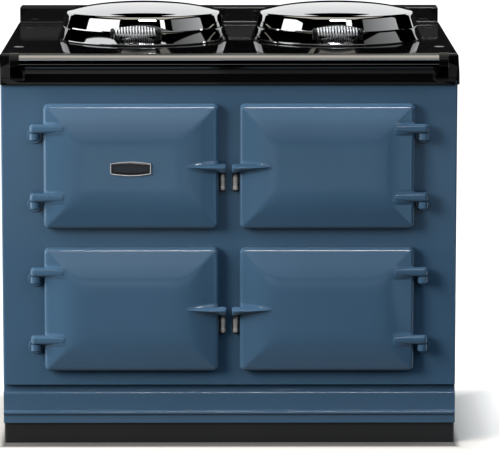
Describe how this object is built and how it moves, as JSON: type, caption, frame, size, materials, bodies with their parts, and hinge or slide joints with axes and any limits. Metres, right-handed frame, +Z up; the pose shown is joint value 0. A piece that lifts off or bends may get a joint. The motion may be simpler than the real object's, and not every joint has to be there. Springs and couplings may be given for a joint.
{
  "type": "range cooker",
  "caption": "Cast iron heat-storage range cooker: enamelled cabinet with hinged doors over its ovens, hand rail, and hotplates under domed lids.",
  "frame": {"origin": "on the floor, at the middle of the plinth's width and of the top plate's depth", "axes": "+X to the right as seen from the front, +Y to the back, +Z up"},
  "size_m": [0.987, 0.7708, 0.929],
  "materials": {
    "blue_enamel": "gloss vitreous enamel, slate blue",
    "black_enamel": "gloss vitreous enamel, black",
    "galvanised": "zinc coated sheet",
    "black_iron": "satin black on cast iron",
    "machined_iron": "machined cast iron, seasoned",
    "oven_iron": "dark cast iron",
    "steel": "brushed steel",
    "chrome": "polished chrome",
    "liner_metal": "spun aluminium",
    "rope": "woven mineral rope",
    "panel_enamel": "satin dark enamel",
    "knob_metal": "satin aluminium",
    "element_sheath": "heat-darkened steel sheath",
    "wool": "loose mineral fill",
    "black_plastic": "matt black nylon"
  },
  "bodies": {
    "cabinet": {"plinth": "black_enamel", "lower_rail": "blue_enamel", "front_plate": "blue_enamel", "side_panel_left": "blue_enamel", "side_panel_right": "blue_enamel", "back_panel": "galvanised", "hinge_lugs": "blue_enamel", "pivot_pins": "steel", "catch_brackets": "black_iron", "top_plate": "black_enamel", "upstand": "black_enamel", "plate_plugs": "steel", "handrail": "chrome", "rail_brackets": "black_iron", "hotplate_left": "machined_iron", "hotplate_right": "machined_iron", "lid_hinge_bases": "black_iron", "roasting_oven": "oven_iron", "baking_oven": "oven_iron", "simmering_oven": "oven_iron", "oven_shelves": "steel", "control_box": "galvanised", "control_panel": "panel_enamel", "heating_elements": "element_sheath", "insulation": "wool", "vent_spigot": "galvanised", "cable_gland": "black_plastic"},
    "door_top_left": {"door_top_left": "blue_enamel", "liner_top_left": "liner_metal", "seal_top_left": "rope", "badge_plate": "chrome"},
    "roller_top_left": {"roller_top_left": "steel"},
    "door_top_right": {"door_top_right": "blue_enamel", "liner_top_right": "liner_metal", "seal_top_right": "rope"},
    "roller_top_right": {"roller_top_right": "steel"},
    "door_low_left": {"door_low_left": "blue_enamel", "liner_low_left": "liner_metal", "seal_low_left": "rope"},
    "roller_low_left": {"roller_low_left": "steel"},
    "door_low_right": {"door_low_right": "blue_enamel", "liner_low_right": "liner_metal", "seal_low_right": "rope"},
    "roller_low_right": {"roller_low_right": "steel"},
    "knob_left_plate": {"knob_left_plate": "knob_metal"},
    "knob_ovens": {"knob_ovens": "knob_metal"},
    "knob_right_plate": {"knob_right_plate": "knob_metal"},
    "lid_left": {"lid_shell_left": "chrome", "lid_rim_left": "chrome", "lid_liner_left": "liner_metal", "lid_handle_bar_left": "black_iron", "lid_handle_coil_left": "chrome", "lid_arm_left": "black_iron"},
    "lid_right": {"lid_shell_right": "chrome", "lid_rim_right": "chrome", "lid_liner_right": "liner_metal", "lid_handle_bar_right": "black_iron", "lid_handle_coil_right": "chrome", "lid_arm_right": "black_iron"}
  },
  "joints": [
    {"name": "door_top_left_hinge", "type": "hinge", "parent": "cabinet", "child": "door_top_left", "pos_m": [-0.416, -0.362, 0.61], "axis": [0, 0, -1], "range_deg": [0, 120]},
    {"name": "door_top_right_hinge", "type": "hinge", "parent": "cabinet", "child": "door_top_right", "pos_m": [0.416, -0.362, 0.61], "axis": [0, 0, 1], "range_deg": [0, 120]},
    {"name": "door_low_left_hinge", "type": "hinge", "parent": "cabinet", "child": "door_low_left", "pos_m": [-0.416, -0.362, 0.3], "axis": [0, 0, -1], "range_deg": [0, 120]},
    {"name": "door_low_right_hinge", "type": "hinge", "parent": "cabinet", "child": "door_low_right", "pos_m": [0.416, -0.362, 0.3], "axis": [0, 0, 1], "range_deg": [0, 120]},
    {"name": "lid_left_hinge", "type": "hinge", "parent": "cabinet", "child": "lid_left", "pos_m": [-0.191, 0.228, 0.88], "axis": [-1, 0, 0], "range_deg": [0, 88]},
    {"name": "lid_right_hinge", "type": "hinge", "parent": "cabinet", "child": "lid_right", "pos_m": [0.239, 0.228, 0.88], "axis": [-1, 0, 0], "range_deg": [0, 88]},
    {"name": "roller_top_left_spin", "type": "hinge", "parent": "cabinet", "child": "roller_top_left", "pos_m": [-0.014, -0.35, 0.575], "axis": [0, 0, 1], "continuous": true},
    {"name": "roller_top_right_spin", "type": "hinge", "parent": "cabinet", "child": "roller_top_right", "pos_m": [0.014, -0.35, 0.575], "axis": [0, 0, 1], "continuous": true},
    {"name": "roller_low_left_spin", "type": "hinge", "parent": "cabinet", "child": "roller_low_left", "pos_m": [-0.014, -0.35, 0.265], "axis": [0, 0, 1], "continuous": true},
    {"name": "roller_low_right_spin", "type": "hinge", "parent": "cabinet", "child": "roller_low_right", "pos_m": [0.014, -0.35, 0.265], "axis": [0, 0, 1], "continuous": true},
    {"name": "knob_left_plate_turn", "type": "hinge", "parent": "cabinet", "child": "knob_left_plate", "pos_m": [-0.302, -0.27, 0.61], "axis": [0, 1, 0], "range_deg": [0, 270]},
    {"name": "knob_ovens_turn", "type": "hinge", "parent": "cabinet", "child": "knob_ovens", "pos_m": [-0.21, -0.27, 0.61], "axis": [0, 1, 0], "range_deg": [0, 270]},
    {"name": "knob_right_plate_turn", "type": "hinge", "parent": "cabinet", "child": "knob_right_plate", "pos_m": [-0.118, -0.27, 0.61], "axis": [0, 1, 0], "range_deg": [0, 270]}
  ]
}
